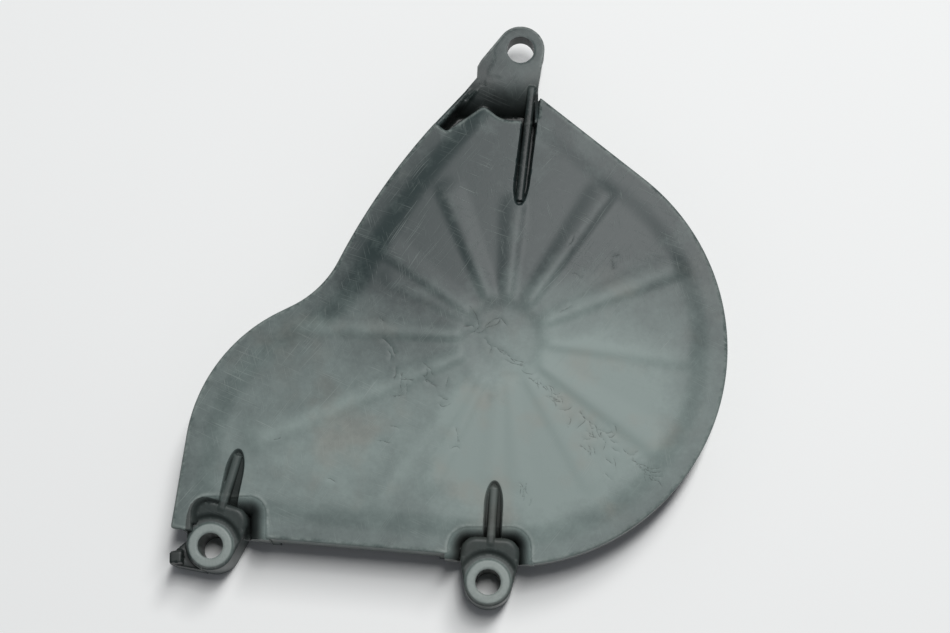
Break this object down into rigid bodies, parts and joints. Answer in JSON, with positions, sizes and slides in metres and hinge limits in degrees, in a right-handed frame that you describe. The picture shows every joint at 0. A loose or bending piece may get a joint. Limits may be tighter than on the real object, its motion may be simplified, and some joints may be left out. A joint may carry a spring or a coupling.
{
  "type": "motorcycle sprocket cover",
  "caption": "Moulded nylon cover for a motorcycle's drive sprocket: a ribbed teardrop shell with bolt lugs on its lower edge, a bolt ear on top and an opening for the chain.",
  "frame": {"origin": "centre of the cover's extent in plan, at the height of the lugs' feet", "axes": "+Z from the engine face out through the cover's ribbed skin, +Y up the cover from the lugs to the ear, +X to the right as the cover is seen from outside"},
  "size_m": [0.1836, 0.1956, 0.0281],
  "materials": {
    "nylon": "satin, greyed and scratched by use"
  },
  "bodies": {
    "root": {"sprocket_cover": "nylon"}
  },
  "joints": []
}
